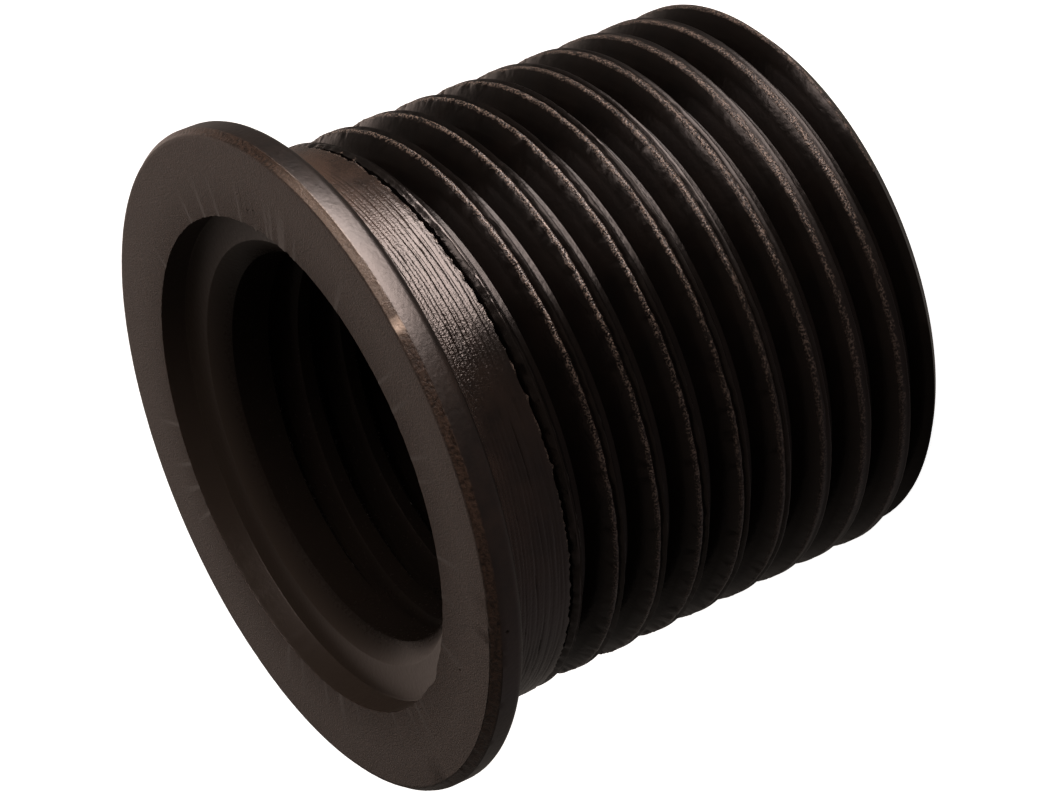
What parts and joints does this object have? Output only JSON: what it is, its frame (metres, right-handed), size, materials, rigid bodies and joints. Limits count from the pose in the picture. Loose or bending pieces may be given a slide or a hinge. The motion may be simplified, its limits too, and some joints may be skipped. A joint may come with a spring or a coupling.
{
  "type": "threaded insert",
  "caption": "Flanged steel sleeve threaded outside and inside, screwed into an enlarged tapped hole to give it a new thread.",
  "frame": {"origin": "centre of the threaded end's face, on the axis", "axes": "+Z along the axis from the threaded end to the flange face; -Y is the side that the picture shows"},
  "size_m": [0.021, 0.021, 0.0174],
  "materials": {
    "black_oxide_steel": "black oxide over turned steel, satin, warm brown-black"
  },
  "bodies": {
    "root": {"insert": "black_oxide_steel"}
  },
  "joints": []
}
